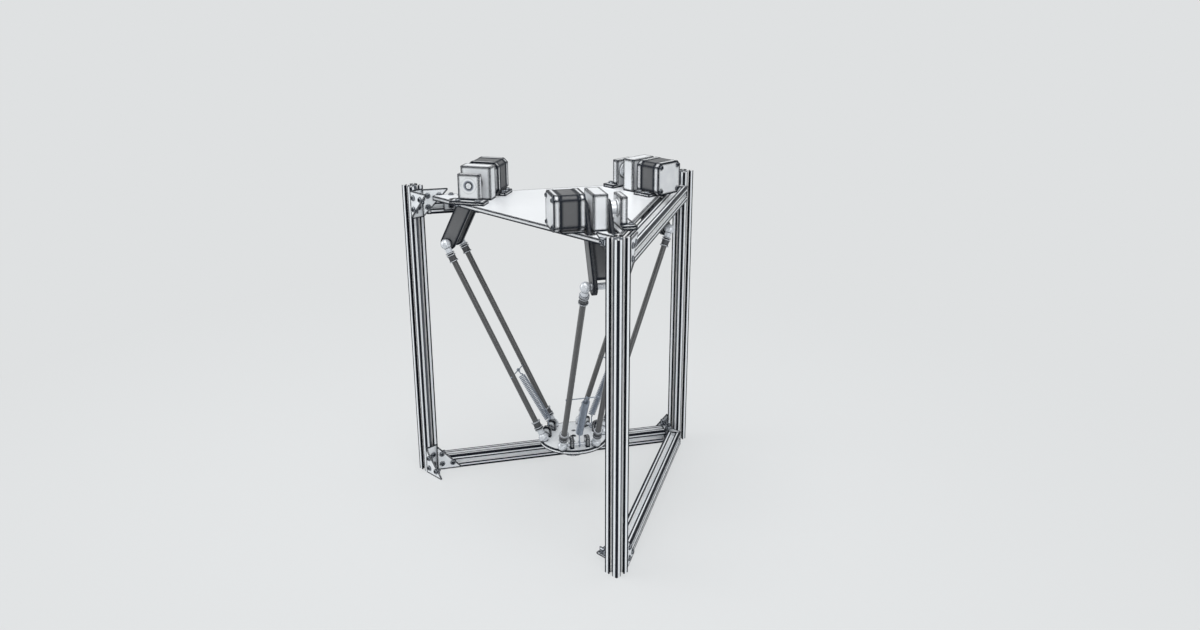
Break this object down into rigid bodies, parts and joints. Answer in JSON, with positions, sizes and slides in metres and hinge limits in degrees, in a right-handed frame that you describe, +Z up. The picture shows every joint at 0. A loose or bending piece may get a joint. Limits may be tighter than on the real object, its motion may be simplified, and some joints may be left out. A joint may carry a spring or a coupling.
{
  "type": "delta robot",
  "caption": "Bench delta robot: motor-driven arms on a triangular frame of slotted profile carry a round tool plate through pairs of parallel ball-ended rods with tension springs.",
  "frame": {"origin": "Centre of the bounding box's bottom face, on the bench under the frame.", "axes": "+Z up, the longest extent; +X from the left post to the right post along the open front; +Y to the rear post."},
  "size_m": [0.395, 0.3486, 0.4446],
  "materials": {
    "frame_profile": "satin anodised extrusion",
    "corner_block": "cast and tumbled",
    "gusset": "brushed sheet",
    "fastener": "bright zinc",
    "plate": "anodised plate with a fine brush",
    "lamination": "dark satin paint",
    "motor_bell": "die cast, satin",
    "bearing_housing": "milled and anodised",
    "ground_steel": "ground",
    "arm": "dark grey anodised",
    "ball": "polished balls on ground shafts",
    "rod_tube": "carbon fibre tube",
    "rod_end": "moulded seats, satin",
    "spring_steel": "drawn wire"
  },
  "bodies": {
    "frame": {"post_left": "frame_profile", "post_right": "frame_profile", "post_rear": "frame_profile", "upper_beam_left": "frame_profile", "upper_beam_right": "frame_profile", "lower_beam_left": "frame_profile", "lower_beam_right": "frame_profile", "corner_blocks": "corner_block", "side_gussets": "gusset", "front_gussets": "gusset", "plate_brackets": "gusset", "frame_screws": "fastener", "frame_nuts": "fastener", "top_plate": "plate", "motor_bells": "motor_bell", "motor_screws": "fastener", "motor_feet": "plate", "shaft_bearings": "ground_steel", "unit_screws": "fastener", "motor_stator_left": "lamination", "bearing_block_left": "bearing_housing", "outboard_block_left": "bearing_housing", "motor_stator_right": "lamination", "bearing_block_right": "bearing_housing", "outboard_block_right": "bearing_housing", "motor_stator_rear": "lamination", "bearing_block_rear": "bearing_housing", "outboard_block_rear": "bearing_housing"},
    "arm_left": {"drive_shaft_left": "ground_steel", "arm_plates_left": "arm", "elbow_axle_left": "ball"},
    "arm_right": {"drive_shaft_right": "ground_steel", "arm_plates_right": "arm", "elbow_axle_right": "ball"},
    "arm_rear": {"drive_shaft_rear": "ground_steel", "arm_plates_rear": "arm", "elbow_axle_rear": "ball"},
    "rods_left": {"rods_left": "rod_tube", "rod_ends_left": "rod_end", "spring_wire_left": "spring_steel", "spring_left": "spring_steel"},
    "rods_right": {"rods_right": "rod_tube", "rod_ends_right": "rod_end", "spring_wire_right": "spring_steel", "spring_right": "spring_steel"},
    "rods_rear": {"rods_rear": "rod_tube", "rod_ends_rear": "rod_end", "spring_wire_rear": "spring_steel", "spring_rear": "spring_steel"},
    "effector": {"effector_plate": "plate", "ball_lugs": "bearing_housing", "lower_ball_shafts": "ball", "tool_flange": "bearing_housing", "effector_screws": "fastener"}
  },
  "joints": [
    {"name": "arm_left_swing", "type": "hinge", "parent": "frame", "child": "arm_left", "pos_m": [-0.10739, -0.11418, 0.4235], "axis": [0.5, -0.866, 0], "range_deg": [-6, 20]},
    {"name": "arm_right_swing", "type": "hinge", "parent": "frame", "child": "arm_right", "pos_m": [0.10739, -0.11418, 0.4235], "axis": [0.5, 0.866, 0], "range_deg": [-6, 20]},
    {"name": "arm_rear_swing", "type": "hinge", "parent": "frame", "child": "arm_rear", "pos_m": [0, 0.07182, 0.4235], "axis": [-1, 0, 0], "range_deg": [-6, 20]},
    {"name": "elbow_left", "type": "hinge", "parent": "arm_left", "child": "rods_left", "pos_m": [-0.14155, -0.1339, 0.34261], "axis": [0.5, -0.866, 0], "range_deg": [-27, 8.5]},
    {"name": "elbow_right", "type": "hinge", "parent": "arm_right", "child": "rods_right", "pos_m": [0.14155, -0.1339, 0.34261], "axis": [0.5, 0.866, 0], "range_deg": [-27, 8.5]},
    {"name": "elbow_rear", "type": "hinge", "parent": "arm_rear", "child": "rods_rear", "pos_m": [0, 0.11128, 0.34261], "axis": [-1, 0, 0], "range_deg": [-27, 8.5]},
    {"name": "effector_level", "type": "hinge", "parent": "rods_left", "child": "effector", "pos_m": [-0.03031, -0.06968, 0.08261], "axis": [0.5, -0.866, 0], "range_deg": [-2.2, 6.8]}
  ],
  "couplings": [
    {"joint": "arm_right_swing", "follows": "arm_left_swing", "ratio": 1},
    {"joint": "arm_rear_swing", "follows": "arm_left_swing", "ratio": 1},
    {"joint": "elbow_left", "follows": "arm_left_swing", "ratio": -1.3188},
    {"joint": "elbow_right", "follows": "arm_left_swing", "ratio": -1.3188},
    {"joint": "elbow_rear", "follows": "arm_left_swing", "ratio": -1.3188},
    {"joint": "effector_level", "follows": "arm_left_swing", "ratio": 0.31875}
  ]
}
